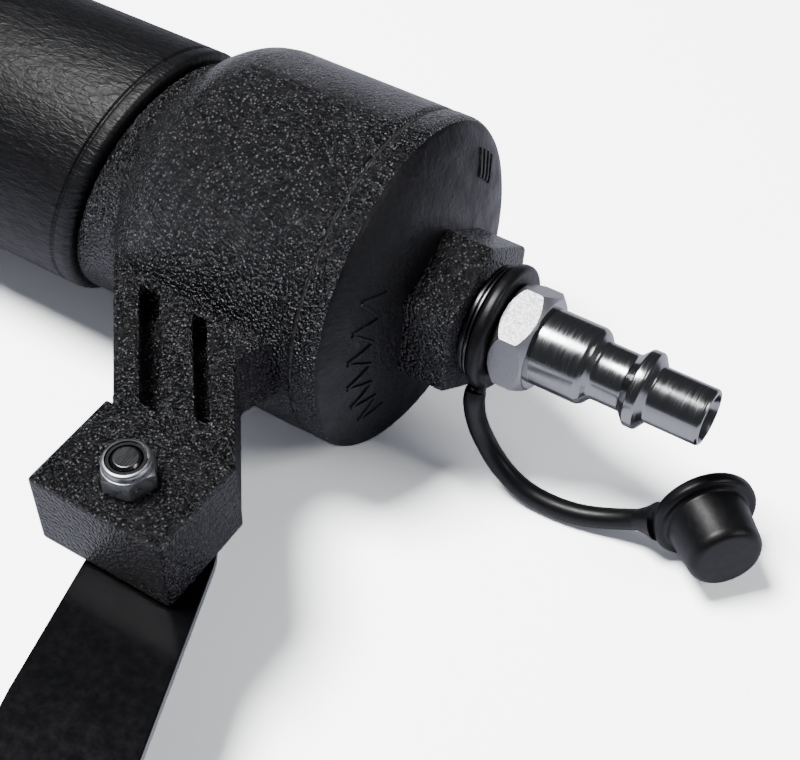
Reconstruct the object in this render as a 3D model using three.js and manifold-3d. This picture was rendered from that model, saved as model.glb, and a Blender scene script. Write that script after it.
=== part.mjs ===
// Pneumatic rivet gun lying on its side: pistol grip with a cast arm and swing bar at its base.
// Millimetres. X runs along the grip from the air inlet to the head, Y from the grip to the arm, Z up.
import * as THREE from 'three';
import { mergeVertices } from 'three/addons/utils/BufferGeometryUtils.js';
import Module from 'manifold-3d';

const wasm = await Module();
wasm.setup();

// ---------------------------------------------------------------- driving dimensions

const GAP = 0.3; // clearance left between separate pieces
const ROUND = 48; // sides of a large turned shape
const MIDDLE = 32; // sides of the hammer's turned shapes
const FINE = 20; // sides of a small turned shape

const CAP = {
  radius: 31, // the rim
  band: 4.1, // straight rim, from the rear edge to the parting line
  dome: 6.2, // rise of the face behind the rim
  hexFlats: 26,
  hexEnd: 15.1, // rear face of the boss
  hexTurn: -23, // degrees, where the boss's corners sit
  spigotRadius: 26.4,
  spigotEnd: 14,
  cavityRadius: 21.5,
  boreRadius: 7.2,
};

const BUSHING = { bore: 4.9, thread: 6.9, threadEnd: -1.5 };
const TETHER_RING = { inner: 8.3, outer: 11.4, front: 17.4, rear: 19.9 };

const PLUG = {
  hexFlats: 17,
  hexTurn: -23, // degrees, in line with the cap's boss
  hexFront: 20.2,
  hexRear: 26.7,
  bodyRadius: 6.9,
  bodyEnd: 36.4,
  neckRadius: 5.1,
  ringRadius: 6.85,
  ringFront: 43.4,
  ringRear: 47.2,
  tipRadius: 5,
  tipEnd: 57.1,
  bore: 3.2,
};

const HOUSING = { radius: 31, shoulder: 36, neckRadius: 23.8, neckStart: 46.5, chamberRadius: 20, chamberEnd: 26 };
const SLEEVE = { start: 55.1, end: 110, radius: 25.4, core: 20.8, bandWidth: 3 };
const SLEEVE_SLANT = { y: 0.058, z: -0.217 }; // the sleeve's rear edge leans: mm along X for each mm of Y and Z
const AIR_PASSAGE = 6;

const BLOCK = { x0: -3, x1: 22.3, y0: 54.3, y1: 73, top: 8.9, bottom: -6.1 };
const ARM = { lean: 37.5, width: 20.2, bottom: -5.4, top: 8.4 };
const BOLT = { x: 8.8, y: 65, radius: 2.5 };

const BAR = { thickness: 2, insideAngle: 12.9, outsideAngle: 19.2, taperEnd: 32, reach: 100 };

const HEAD = {
  x: 165, // where the hammer's axis crosses the grip's
  rake: 10, // degrees that the muzzle leans forward of square
  height: 58,
  width: 63,
  corner: 20,
  rear: -46,
  front: 38,
  collarEnd: 52,
  bore: 17,
};

const THROTTLE = { x: 120.5, bore: 7 };
const TRIGGER = { pivotX: 134.5, pivotY: 33, halfWidth: 4.8, pinRadius: 1.5 };
const REGULATOR = { x: 127.5, knobRadius: 6 };

const BARREL = { radius: 15.5, bore: 9.6, end: 128, noseBore: 5.4, noseStart: 106, hexFlats: 34 };
const SET = { shank: 5.2, collarStart: 129.5, end: 166 };

// ---------------------------------------------------------------- materials

const castBlack = { color: 0x17171b, roughness: 0.55, metalness: 0.35 };
const smoothBlack = { color: 0x0b0b0d, roughness: 0.35, metalness: 0.3 };
const rubberBlack = { color: 0x141416, roughness: 0.6, metalness: 0 };
const brightSteel = { color: 0xa9abad, roughness: 0.28, metalness: 1 };
const darkSteel = { color: 0x55575a, roughness: 0.35, metalness: 1 };
const zincPlate = { color: 0xb4b8bb, roughness: 0.32, metalness: 1 };
const brass = { color: 0xb08d45, roughness: 0.35, metalness: 1 };
const nylon = { color: 0x26282c, roughness: 0.5, metalness: 0 };

// ---------------------------------------------------------------- shape helpers

const radians = THREE.MathUtils.degToRad;
const part = new THREE.Group();
part.name = 'pneumatic_rivet_gun';

function addPart(name, geometry, finish, parent = part) {
  const mesh = new THREE.Mesh(geometry, new THREE.MeshStandardMaterial(finish));
  mesh.name = name;
  parent.add(mesh);
  return mesh;
}

// A profile is a list of [place along the axis, radius], outside first, run towards the axis's end.
function turned(profile, sides = ROUND) {
  return new THREE.LatheGeometry(profile.map(([along, radius]) => new THREE.Vector2(radius, along)), sides);
}

// A ring or tube: the profile closes on itself.
function turnedRing(profile, sides = ROUND) {
  return turned([...profile, profile[0]], sides);
}

function plate(points, low, high, bevel = 0) {
  const outline = new THREE.Shape(points.map(([x, y]) => new THREE.Vector2(x, y)));
  return plateFromShape(outline, low, high, bevel);
}

function plateFromShape(outline, low, high, bevel = 0, curveSegments = 12) {
  const geometry = new THREE.ExtrudeGeometry(outline, {
    depth: high - low - 2 * bevel,
    bevelEnabled: bevel > 0,
    bevelThickness: bevel,
    bevelSize: bevel,
    bevelOffset: -bevel,
    bevelSegments: 2,
    curveSegments,
  });
  return geometry.translate(0, 0, low + bevel);
}

function polygonPoints(sides, radius, turn = 0) {
  return Array.from({ length: sides }, (_, i) => {
    const angle = turn + (i * 2 * Math.PI) / sides;
    return [radius * Math.cos(angle), radius * Math.sin(angle)];
  });
}

// A hexagonal bar whose axis is Y, as a turned shape's is.
function hexBar(flats, start, end, turn = 0, bevel = 0.4) {
  const outline = polygonPoints(6, flats / Math.sqrt(3), radians(turn));
  return plate(outline, start, end, bevel).rotateX(-Math.PI / 2);
}

function cylinder(radius, start, end, sides = FINE) {
  return turned([[start, 0], [start, radius], [end, radius], [end, 0]], sides);
}

const alongX = (geometry) => geometry.rotateZ(-Math.PI / 2);
const alongZ = (geometry) => geometry.rotateX(Math.PI / 2);

function toSolid(geometry) {
  const bare = new THREE.BufferGeometry();
  bare.setAttribute('position', geometry.getAttribute('position').clone());
  if (geometry.index) bare.setIndex(geometry.index.clone());
  const welded = mergeVertices(bare, 1e-4);
  const mesh = new wasm.Mesh({
    numProp: 3,
    vertProperties: new Float32Array(welded.getAttribute('position').array),
    triVerts: new Uint32Array(welded.index.array),
  });
  mesh.merge();
  return new wasm.Manifold(mesh);
}

function fromSolid(solid) {
  const mesh = solid.getMesh();
  const geometry = new THREE.BufferGeometry();
  geometry.setAttribute('position', new THREE.BufferAttribute(mesh.vertProperties, 3));
  geometry.setIndex(new THREE.BufferAttribute(mesh.triVerts, 1));
  const faceted = geometry.toNonIndexed();
  faceted.computeVertexNormals();
  return faceted;
}

function joined(...geometries) {
  return fromSolid(wasm.Manifold.union(geometries.map(toSolid)));
}

function cut(geometry, ...tools) {
  return fromSolid(toSolid(geometry).subtract(wasm.Manifold.union(tools.map(toSolid))));
}

// ---------------------------------------------------------------- head frame: Y is the hammer's axis

const headGroup = new THREE.Group();
headGroup.position.set(HEAD.x, 0, 0);
headGroup.rotation.z = -radians(HEAD.rake);
part.add(headGroup);

const toHead = (geometry) => geometry.rotateZ(-radians(HEAD.rake)).translate(HEAD.x, 0, 0);

// ---------------------------------------------------------------- handle casting

// Shears what lies round the sleeve's rear edge. Nothing moves behind the start or at the sleeve's front end.
function slanted(geometry, start) {
  const place = geometry.getAttribute('position');
  for (let i = 0; i < place.count; i += 1) {
    const [x, y, z] = [place.getX(i), place.getY(i), place.getZ(i)];
    const rise = THREE.MathUtils.clamp((x - start) / (SLEEVE.start - 1 - start), 0, 1);
    const fall = THREE.MathUtils.clamp((SLEEVE.end - 2 - x) / (SLEEVE.end - 8 - SLEEVE.start), 0, 1);
    place.setX(i, x + rise * fall * (SLEEVE_SLANT.y * y + SLEEVE_SLANT.z * z));
  }
  return geometry;
}

function handleShell() {
  const { radius, shoulder, neckRadius, neckStart } = HOUSING;
  const start = CAP.band + GAP;
  return slanted(alongX(turned([
    [start, 0],
    [start, radius - 0.6],
    [start + 0.6, radius],
    [shoulder - 1, radius],
    [shoulder + 1.5, radius - 0.35],
    [shoulder + 4, radius - 1.2],
    [shoulder + 6.5, radius - 2.8],
    [shoulder + 8.5, radius - 4.9],
    [neckStart - 0.8, neckRadius + 0.7],
    [neckStart, neckRadius],
    [SLEEVE.start - GAP - 0.6, neckRadius],
    [SLEEVE.start - GAP, neckRadius - 0.6],
    [SLEEVE.start - GAP, SLEEVE.core],
    [SLEEVE.end + GAP, SLEEVE.core],
    [SLEEVE.end + GAP, neckRadius - 0.6],
    [SLEEVE.end + GAP + 0.6, neckRadius],
    [HEAD.x - 8, neckRadius],
    [HEAD.x - 8, 0],
  ])), neckStart);
}

// The arm leans forward from the block to the housing: its two side faces are parallel.
function armPoint(across, outward) {
  const lean = Math.tan(radians(ARM.lean));
  return [BLOCK.x1 - across / Math.cos(radians(ARM.lean)) + (BLOCK.y0 - outward) * lean, outward];
}

function armPlate() {
  const root = 14;
  return plate([
    armPoint(0.2, BLOCK.y0 + 0.5),
    armPoint(ARM.width - 0.4, BLOCK.y0 + 0.5),
    armPoint(ARM.width, 36.5),
    [9.2, 32.5],
    [6.5, 27],
    [10, root],
    [46, root],
    armPoint(0, 28),
    armPoint(0.9, BLOCK.y0 - 1.6),
  ], ARM.bottom, ARM.top);
}

function armPockets() {
  const pocket = (near, far, inner, outer, drift) => plate(
    [armPoint(near, inner), armPoint(near + drift, outer), armPoint(far + drift, outer), armPoint(far, inner)],
    ARM.top - 7,
    ARM.top + 5,
  );
  return [pocket(4.6, 7.8, 31, 51.6, 0.5), pocket(13.4, 15.6, 31.5, 49.6, 0.4)];
}

function block() {
  const { x0, x1, y0, y1 } = BLOCK;
  return plate([[x0, y0], [x1, y0], [x1, y1], [x0, y1]], BLOCK.bottom, BLOCK.top, 0.7);
}

function headBody() {
  const halfHeight = HEAD.height / 2;
  const halfWidth = HEAD.width / 2;
  const outline = new THREE.Shape();
  outline.moveTo(halfHeight, halfWidth - HEAD.corner);
  outline.absarc(halfHeight - HEAD.corner, halfWidth - HEAD.corner, HEAD.corner, 0, Math.PI / 2);
  outline.absarc(HEAD.corner - halfHeight, halfWidth - HEAD.corner, HEAD.corner, Math.PI / 2, Math.PI);
  outline.absarc(HEAD.corner - halfHeight, HEAD.corner - halfWidth, HEAD.corner, Math.PI, 1.5 * Math.PI);
  outline.absarc(halfHeight - HEAD.corner, HEAD.corner - halfWidth, HEAD.corner, 1.5 * Math.PI, 2 * Math.PI);
  const body = plateFromShape(outline, HEAD.rear, HEAD.front, 2.5, 8).rotateX(-Math.PI / 2);
  const collar = turned([
    [HEAD.front - 6, 0],
    [HEAD.front - 6, 26.5],
    [HEAD.front, 26.5],
    [HEAD.collarEnd - 4, 22.5],
    [HEAD.collarEnd, 22],
    [HEAD.collarEnd, 0],
  ]);
  return toHead(joined(body, collar));
}

function triggerEars() {
  const ear = (low, high) => plate([[146, 14], [146, 40], [137, 39.5], [130.5, 36.5], [130.5, 30], [136, 14]], low, high);
  const inside = TRIGGER.halfWidth + GAP;
  return [ear(inside, inside + 3.4), ear(-inside - 3.4, -inside)];
}

function handleCasting() {
  const regulatorBoss = alongZ(cylinder(8.5, 14, 24.2)).translate(REGULATOR.x, 0, 0);
  const solid = joined(handleShell(), armPlate(), block(), headBody(), ...triggerEars(), regulatorBoss);
  const inletChamber = alongX(turned([
    [0, 0],
    [0, CAP.spigotRadius + GAP],
    [CAP.spigotEnd + GAP, CAP.spigotRadius + GAP],
    [CAP.spigotEnd + GAP, HOUSING.chamberRadius],
    [HOUSING.chamberEnd, HOUSING.chamberRadius],
    [HOUSING.chamberEnd + 8, AIR_PASSAGE],
    [HEAD.x - 14, AIR_PASSAGE],
    [HEAD.x - 14, 0],
  ]));
  const throttleBore = cylinder(THROTTLE.bore, -40, 40).translate(THROTTLE.x, 0, 0);
  const headBore = toHead(cylinder(HEAD.bore, HEAD.rear - 5, HEAD.collarEnd + 5, MIDDLE));
  const boltHole = alongZ(cylinder(BOLT.radius + GAP, -20, 20)).translate(BOLT.x, BOLT.y, 0);
  const pinHole = alongZ(cylinder(TRIGGER.pinRadius + GAP, -20, 20)).translate(TRIGGER.pivotX, TRIGGER.pivotY, 0);
  const needleHole = alongZ(cylinder(2.6, 4, 30)).translate(REGULATOR.x, 0, 0);
  return cut(solid, ...armPockets(), inletChamber, throttleBore, headBore, boltHole, pinHole, needleHole);
}

addPart('handle_casting', handleCasting(), castBlack);

// ---------------------------------------------------------------- grip sleeve

addPart('grip_sleeve', slanted(alongX(turnedRing([
  [SLEEVE.start, SLEEVE.core + GAP],
  [SLEEVE.start, SLEEVE.radius - 1.2],
  [SLEEVE.start + 0.5, SLEEVE.radius - 0.3],
  [SLEEVE.start + 1.5, SLEEVE.radius],
  [SLEEVE.start + SLEEVE.bandWidth, SLEEVE.radius],
  [SLEEVE.start + SLEEVE.bandWidth + 0.5, SLEEVE.radius - 0.4],
  [SLEEVE.start + SLEEVE.bandWidth + 1, SLEEVE.radius],
  [SLEEVE.end - 1, SLEEVE.radius],
  [SLEEVE.end, SLEEVE.radius - 1],
  [SLEEVE.end, SLEEVE.core + GAP],
])), HOUSING.neckStart), rubberBlack);

// ---------------------------------------------------------------- end cap and inlet

function endCap() {
  const { radius, band, dome, spigotRadius, spigotEnd, cavityRadius, hexEnd } = CAP;
  const sealGroove = { start: 7, end: 9.8, radius: 24.7 };
  const body = alongX(turned([
    [-dome, 0],
    [-dome, 13],
    [-dome + 0.7, 18],
    [-dome + 1.9, 23],
    [-dome + 3.6, 27.5],
    [-0.9, 30.2],
    [0, radius - 0.2],
    [0.6, radius],
    [band - 0.5, radius],
    [band, radius - 0.4],
    [band, spigotRadius],
    [sealGroove.start, spigotRadius],
    [sealGroove.start, sealGroove.radius],
    [sealGroove.end, sealGroove.radius],
    [sealGroove.end, spigotRadius],
    [spigotEnd, spigotRadius],
    [spigotEnd, 0],
  ]));
  const boss = alongX(hexBar(CAP.hexFlats, -hexEnd, 0, CAP.hexTurn, 0.5));
  const cavity = alongX(cylinder(cavityRadius, 1, spigotEnd + 5, ROUND));
  const bore = alongX(cylinder(CAP.boreRadius, -hexEnd - 5, 5));
  return cut(joined(body, boss), cavity, bore);
}

addPart('end_cap', endCap(), castBlack);

addPart('cap_seal', alongX(turnedRing([
  [7.2, 25],
  [7.2, 26.2],
  [7.8, 26.5],
  [9, 26.5],
  [9.6, 26.2],
  [9.6, 25],
], MIDDLE)), rubberBlack);

addPart('inlet_screen', alongX(turnedRing([
  [HOUSING.chamberEnd - 3, 5.5],
  [HOUSING.chamberEnd - 3, 7],
  [HOUSING.chamberEnd - 1.6, 7.6],
  [HOUSING.chamberEnd - 1.6, HOUSING.chamberRadius - GAP],
  [HOUSING.chamberEnd - GAP, HOUSING.chamberRadius - GAP],
  [HOUSING.chamberEnd - GAP, 5.5],
], MIDDLE)), brass);

// Turned steel bushing: thin ridges behind the boss, then the seat for the tether's ring.
addPart('inlet_bushing', alongX(turnedRing([
  [-TETHER_RING.rear - 0.1, BUSHING.bore],
  [-TETHER_RING.rear - 0.1, TETHER_RING.inner - GAP],
  [-TETHER_RING.front + GAP, TETHER_RING.inner - GAP],
  [-TETHER_RING.front + GAP, 10.6],
  [-16.6, 10.6],
  [-16.6, 9.6],
  [-16.2, 9.6],
  [-16.2, 10.2],
  [-CAP.hexEnd - GAP, 10.2],
  [-CAP.hexEnd - GAP, BUSHING.thread],
  [BUSHING.threadEnd, BUSHING.thread],
  [BUSHING.threadEnd, BUSHING.bore],
], MIDDLE)), darkSteel);

function airPlug() {
  const p = PLUG;
  const body = alongX(turnedRing([
    [-p.tipEnd, p.bore],
    [-p.tipEnd, p.tipRadius - 0.5],
    [-p.tipEnd + 0.6, p.tipRadius],
    [-p.ringRear - 0.4, p.tipRadius],
    [-p.ringRear + 0.2, p.ringRadius - 0.3],
    [-p.ringRear + 0.7, p.ringRadius],
    [-p.ringFront - 0.7, p.ringRadius],
    [-p.ringFront, p.ringRadius - 0.6],
    [-p.ringFront + 0.9, p.neckRadius],
    [-p.bodyEnd - 0.8, p.neckRadius],
    [-p.bodyEnd, p.bodyRadius - 0.5],
    [-p.bodyEnd + 0.6, p.bodyRadius],
    [-p.hexFront - 2, p.bodyRadius],
    [-p.hexFront - 2, 4.6],
    [-12, 4.6],
    [-12, p.bore],
  ], MIDDLE));
  const hex = alongX(hexBar(p.hexFlats, -p.hexRear, -p.hexFront, p.hexTurn, 0.6));
  const bore = alongX(cylinder(p.bore, -p.tipEnd - 5, 5, MIDDLE));
  return cut(joined(body, hex), bore);
}

addPart('air_plug', airPlug(), brightSteel);

// ---------------------------------------------------------------- tethered dust cap

addPart('tether_ring', alongX(turnedRing([
  [-TETHER_RING.rear, TETHER_RING.inner],
  [-TETHER_RING.rear, TETHER_RING.outer - 0.6],
  [-TETHER_RING.rear + 0.6, TETHER_RING.outer],
  [-TETHER_RING.front - 0.6, TETHER_RING.outer],
  [-TETHER_RING.front, TETHER_RING.outer - 0.6],
  [-TETHER_RING.front, TETHER_RING.inner],
], MIDDLE)), rubberBlack);

// The strap's route: out of the ring, down to the surface, and round to the cap's flange.
const TETHER_ROUTE = [
  [-18.65, 8.8, -8.1],
  [-18.75, 9.4, -9.4],
  [-18.7, 9.1, -11.7],
  [-18.7, 8.4, -15],
  [-19.4, 7.8, -18.9],
  [-21.5, 7.9, -22.6],
  [-23.8, 8.2, -25.1],
  [-26.4, 8.4, -27.1],
  [-29.8, 8.5, -28.7],
  [-33.7, 8.4, -29.3],
  [-37.6, 8.1, -29.3],
  [-41.5, 7.4, -28.9],
  [-45.3, 6.5, -27.9],
  [-48.4, 5.9, -26.6],
  [-50.9, 5.7, -25.2],
];
const TETHER_DIAMETER = 3.8;

function strap(route, diameter) {
  const curve = new THREE.CatmullRomCurve3(route.map((point) => new THREE.Vector3(...point)));
  const round = new THREE.Shape(polygonPoints(10, diameter / 2).map(([x, y]) => new THREE.Vector2(x, y)));
  return new THREE.ExtrudeGeometry(round, { steps: 24, extrudePath: curve, bevelEnabled: false });
}

addPart('dust_strap', strap(TETHER_ROUTE, TETHER_DIAMETER), rubberBlack);

// The cap lies on its flange's edge with its closed end turned outward.
const DUST_CAP = { x: -60.1, y: 1.2, z: -22.1, flange: 9.3, flangeThickness: 2.6, outer: 7.3, inner: 5.1, length: 12 };

function dustCap() {
  const { flange, flangeThickness, outer, inner, length } = DUST_CAP;
  return turned([
    [length - 2.4 - flangeThickness / 2, 0],
    [length - 2.4 - flangeThickness / 2, inner - 0.4],
    [length - 3 - flangeThickness / 2, inner],
    [-flangeThickness / 2, inner],
    [-flangeThickness / 2, flange - 0.6],
    [-flangeThickness / 2 + 0.6, flange],
    [flangeThickness / 2 - 0.6, flange],
    [flangeThickness / 2, flange - 0.6],
    [flangeThickness / 2, outer],
    [length - flangeThickness / 2 - 1.2, outer - 0.8],
    [length - flangeThickness / 2, outer - 1.9],
    [length - flangeThickness / 2, 0],
  ], MIDDLE);
}

const dustCapMesh = addPart('dust_cap', dustCap(), rubberBlack);
dustCapMesh.position.set(DUST_CAP.x, DUST_CAP.y, DUST_CAP.z);
dustCapMesh.quaternion.setFromUnitVectors(
  new THREE.Vector3(0, 1, 0),
  new THREE.Vector3(-0.72, 0.69, 0.08).normalize(),
);

// ---------------------------------------------------------------- swing bar and its bolt

function swingBar() {
  const top = BLOCK.bottom - GAP;
  const inside = radians(BAR.insideAngle);
  const outside = radians(BAR.outsideAngle);
  const mean = (inside + outside) / 2;
  const insideStart = new THREE.Vector2(14.1, 73.1);
  const outsideStart = new THREE.Vector2(-4, 64.5);
  const step = (from, angle, distance) => [from.x - Math.sin(angle) * distance, from.y + Math.cos(angle) * distance];
  const insideTaper = new THREE.Vector2(...step(insideStart, inside, BAR.taperEnd - 8));
  const outsideTaper = new THREE.Vector2(...step(outsideStart, outside, BAR.taperEnd));
  const insideEnd = step(insideTaper, mean, BAR.reach - 52);
  const outsideEnd = step(outsideTaper, mean, BAR.reach - 52);
  const tip = step(new THREE.Vector2((insideEnd[0] + outsideEnd[0]) / 2, (insideEnd[1] + outsideEnd[1]) / 2), mean, 9);
  const outline = new THREE.Shape();
  outline.moveTo(...outsideStart.toArray());
  outline.quadraticCurveTo(-2, 57.5, 4, 56.5);
  outline.lineTo(10, 57);
  outline.quadraticCurveTo(15.5, 58.5, 15.6, 64);
  outline.lineTo(...insideStart.toArray());
  outline.lineTo(...insideTaper.toArray());
  outline.lineTo(...insideEnd);
  outline.quadraticCurveTo(...step(new THREE.Vector2(...insideEnd), mean, 8), ...tip);
  outline.quadraticCurveTo(...step(new THREE.Vector2(...outsideEnd), mean, 8), ...outsideEnd);
  outline.lineTo(...outsideTaper.toArray());
  const boltHole = alongZ(cylinder(BOLT.radius + GAP, -20, 20)).translate(BOLT.x, BOLT.y, 0);
  const hangHole = alongZ(cylinder(4.5, -20, 20)).translate(tip[0] + 2.6, tip[1] - 9, 0);
  return cut(plateFromShape(outline, top - BAR.thickness, top, 0.25, 8), boltHole, hangHole);
}

addPart('swing_bar', swingBar(), smoothBlack);

const barUnderside = BLOCK.bottom - GAP - BAR.thickness;
const boltPlace = (geometry) => alongZ(geometry).translate(BOLT.x, BOLT.y, 0);
const boltTop = BLOCK.top + GAP + 5.2;

// Along Z after turning, so low is first.
addPart('bar_bolt', boltPlace(turned([
  [barUnderside - 4.8, 0],
  [barUnderside - 4.8, 3.4],
  [barUnderside - 4, 4.4],
  [barUnderside - 1.2 - 2 * GAP, 4.7],
  [barUnderside - 1.2 - 2 * GAP, BOLT.radius],
  [boltTop - 0.5, BOLT.radius],
  [boltTop, BOLT.radius - 0.5],
  [boltTop, 0],
], FINE)), darkSteel);

addPart('bar_washer', boltPlace(turnedRing([
  [barUnderside - 1.2 - GAP, BOLT.radius + GAP],
  [barUnderside - 1.2 - GAP, 5.4],
  [barUnderside - GAP, 5.4],
  [barUnderside - GAP, BOLT.radius + GAP],
], FINE)), zincPlate);

function lockNut() {
  const base = BLOCK.top + GAP;
  const hex = hexBar(8, base, base + 3.4, 10, 0.4);
  const collar = turned([[base + 2, 0], [base + 2, 3.9], [base + 4.4, 3.9], [base + 5, 3.5], [base + 5, 0]], FINE);
  const bore = cylinder(BOLT.radius + GAP, base - 2, base + 8);
  const insertSeat = cylinder(3.3, base + 3.3, base + 8);
  return boltPlace(cut(joined(hex, collar), bore, insertSeat));
}

addPart('bar_nut', lockNut(), zincPlate);

addPart('bar_nut_insert', boltPlace(turnedRing([
  [BLOCK.top + GAP + 3.6, BOLT.radius + 0.15],
  [BLOCK.top + GAP + 3.6, 3.1],
  [BLOCK.top + GAP + 4.8, 3.1],
  [BLOCK.top + GAP + 4.8, BOLT.radius + 0.15],
], FINE)), nylon);

// ---------------------------------------------------------------- trigger and throttle

function trigger() {
  const { pivotX, pivotY, halfWidth, pinRadius } = TRIGGER;
  const outline = new THREE.Shape();
  outline.moveTo(pivotX - 3.5, 29);
  outline.quadraticCurveTo(pivotX, 27.4, pivotX + 3.6, 30.2);
  outline.quadraticCurveTo(pivotX + 5.4, 33, pivotX + 4, 36.4);
  outline.quadraticCurveTo(pivotX - 1, 44.6, 127, 42.4);
  outline.quadraticCurveTo(117, 39, 108, 41.5);
  outline.quadraticCurveTo(103.5, 42, 104, 38.5);
  outline.lineTo(106.5, 34);
  outline.lineTo(115, 29.4);
  const pinHole = alongZ(cylinder(pinRadius + 0.12, -20, 20)).translate(pivotX, pivotY, 0);
  return cut(plateFromShape(outline, -halfWidth, halfWidth, 0.8, 8), pinHole);
}

addPart('trigger', trigger(), smoothBlack);

addPart('trigger_pin', alongZ(cylinder(TRIGGER.pinRadius, -8.4, 8.4)).translate(TRIGGER.pivotX, TRIGGER.pivotY, 0), brightSteel);

const throttlePlace = (geometry) => geometry.translate(THROTTLE.x, 0, 0);

addPart('throttle_bushing', throttlePlace(turnedRing([
  [9, 2.75],
  [9, THROTTLE.bore - GAP],
  [23.9, THROTTLE.bore - GAP],
  [23.9, 8.6],
  [25.2, 8.6],
  [25.8, 8],
  [25.8, 2.75],
], FINE)), brass);

addPart('throttle_stem', throttlePlace(turned([
  [-1.5, 0],
  [-1.5, 2],
  [3.5, 2],
  [3.5, 6.2],
  [6, 6.2],
  [7.5, 4.6],
  [8.6, 4.6],
  [8.6, 2.5],
  [28.2, 2.5],
  [28.9, 1.6],
  [28.9, 0],
], FINE)), brightSteel);

function coil(radiusAt, start, end, turns, wire, stepsPerTurn = 14) {
  const points = Array.from({ length: turns * stepsPerTurn + 1 }, (_, i) => {
    const along = i / (turns * stepsPerTurn);
    const angle = along * turns * 2 * Math.PI;
    const radius = radiusAt(along);
    return new THREE.Vector3(radius * Math.cos(angle), start + (end - start) * along, radius * Math.sin(angle));
  });
  const round = new THREE.Shape(polygonPoints(8, wire / 2).map(([x, y]) => new THREE.Vector2(x, y)));
  const curve = new THREE.CatmullRomCurve3(points);
  return new THREE.ExtrudeGeometry(round, { steps: turns * stepsPerTurn, extrudePath: curve, bevelEnabled: false });
}

addPart('throttle_spring', throttlePlace(coil(() => 4.2, -13.2, 2.5, 5, 1, 12)), brightSteel);

function throttlePlug() {
  const body = turned([
    [-29.5, 0],
    [-29.5, 7.6],
    [-28.9, 8.6],
    [-24.2, 8.6],
    [-24.2, THROTTLE.bore - GAP],
    [-14, THROTTLE.bore - GAP],
    [-14, 0],
  ], FINE);
  const socket = plate(polygonPoints(6, 3.5), -40, -25.5).rotateX(-Math.PI / 2);
  return cut(body, socket);
}

addPart('throttle_plug', throttlePlace(throttlePlug()), darkSteel);

function regulatorScrew() {
  const knob = plate(
    Array.from({ length: 48 }, (_, i) => {
      const radius = REGULATOR.knobRadius - (i % 2 ? 0.35 : 0);
      return [radius * Math.cos((i * Math.PI) / 24), radius * Math.sin((i * Math.PI) / 24)];
    }),
    24.6,
    30.6,
  );
  const needle = alongZ(cylinder(2.3, 7, 26));
  const slot = plate([[-7, -0.6], [7, -0.6], [7, 0.6], [-7, 0.6]], 29.4, 32);
  return cut(joined(knob, needle), slot).translate(REGULATOR.x, 0, 0);
}

addPart('regulator_screw', regulatorScrew(), brass);

// ---------------------------------------------------------------- hammer, in the head frame

function backPlug() {
  const body = turned([
    [HEAD.rear - 12, 0],
    [HEAD.rear - 12, 17],
    [HEAD.rear - 9.5, 20.5],
    [HEAD.rear - 6, 21.6],
    [HEAD.rear - GAP, 21.6],
    [HEAD.rear - GAP, HEAD.bore - GAP],
    [HEAD.rear + 15, HEAD.bore - GAP],
    [HEAD.rear + 15, 0],
  ], MIDDLE);
  const socket = plate(polygonPoints(6, 8), HEAD.rear - 20, HEAD.rear - 4).rotateX(-Math.PI / 2);
  return cut(body, socket);
}

addPart('back_plug', backPlug(), darkSteel, headGroup);

addPart('valve_case', turnedRing([
  [-30.7, 4],
  [-30.7, HEAD.bore - 0.4],
  [-14, HEAD.bore - 0.4],
  [-14, 4],
  [-16.5, 4],
  [-16.5, 13.2],
  [-24.5, 13.2],
  [-24.5, 4],
], MIDDLE), darkSteel, headGroup);

addPart('valve_plate', turnedRing([
  [-24.1, 3.2],
  [-24.1, 12.6],
  [-21.6, 12.6],
  [-21.6, 3.2],
], MIDDLE), brightSteel, headGroup);

function hammerBarrel() {
  const { radius, bore, end, noseBore, noseStart, hexFlats } = BARREL;
  const hexStart = HEAD.collarEnd + GAP;
  const body = turned([
    [-13.7, 0],
    [-13.7, HEAD.bore - GAP],
    [hexStart + 2, HEAD.bore - GAP],
    [hexStart + 6, radius],
    [end - 19, radius],
    [end - 17.5, radius - 1],
    [end - 1, radius - 1],
    [end, radius - 2],
    [end, 0],
  ], MIDDLE);
  const hex = hexBar(hexFlats, hexStart, hexStart + 8, 0, 0.8);
  const boreTool = turned([
    [-20, 0],
    [-20, bore],
    [noseStart - 3, bore],
    [noseStart, noseBore],
    [end + 5, noseBore],
    [end + 5, 0],
  ], MIDDLE);
  const ports = [0, 90, 180, 270].map((angle) =>
    alongX(cylinder(1.8, bore - 2, radius + 4, 16)).rotateY(radians(angle)).translate(0, 68, 0));
  return cut(joined(body, hex), boreTool, ...ports);
}

addPart('hammer_barrel', hammerBarrel(), darkSteel, headGroup);

addPart('hammer_piston', turned([
  [-12, 0],
  [-12, 8.4],
  [-11, BARREL.bore - 0.1],
  [-2, BARREL.bore - 0.1],
  [-2, BARREL.bore - 0.5],
  [-0.5, BARREL.bore - 0.5],
  [-0.5, BARREL.bore - 0.1],
  [24, BARREL.bore - 0.1],
  [26, 8],
  [26, 0],
], MIDDLE), brightSteel, headGroup);

function exhaustRing() {
  const ring = turnedRing([
    [61, BARREL.radius + GAP],
    [61, 19.4],
    [62.4, 20.6],
    [72.6, 20.6],
    [74, 19.4],
    [74, BARREL.radius + GAP],
  ], MIDDLE);
  const slots = [-36, 0, 36].map((angle) =>
    plate([[12, -1.3], [24, -1.3], [24, 1.3], [12, 1.3]], 64, 71).rotateX(-Math.PI / 2).rotateY(radians(angle)));
  return cut(ring, ...slots);
}

addPart('exhaust_ring', exhaustRing(), smoothBlack, headGroup);

addPart('exhaust_clip', turnedRing([
  [74.4, BARREL.radius + 0.25],
  [74.4, 17.8],
  [76, 17.8],
  [76, BARREL.radius + 0.25],
], MIDDLE), brightSteel, headGroup);

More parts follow.
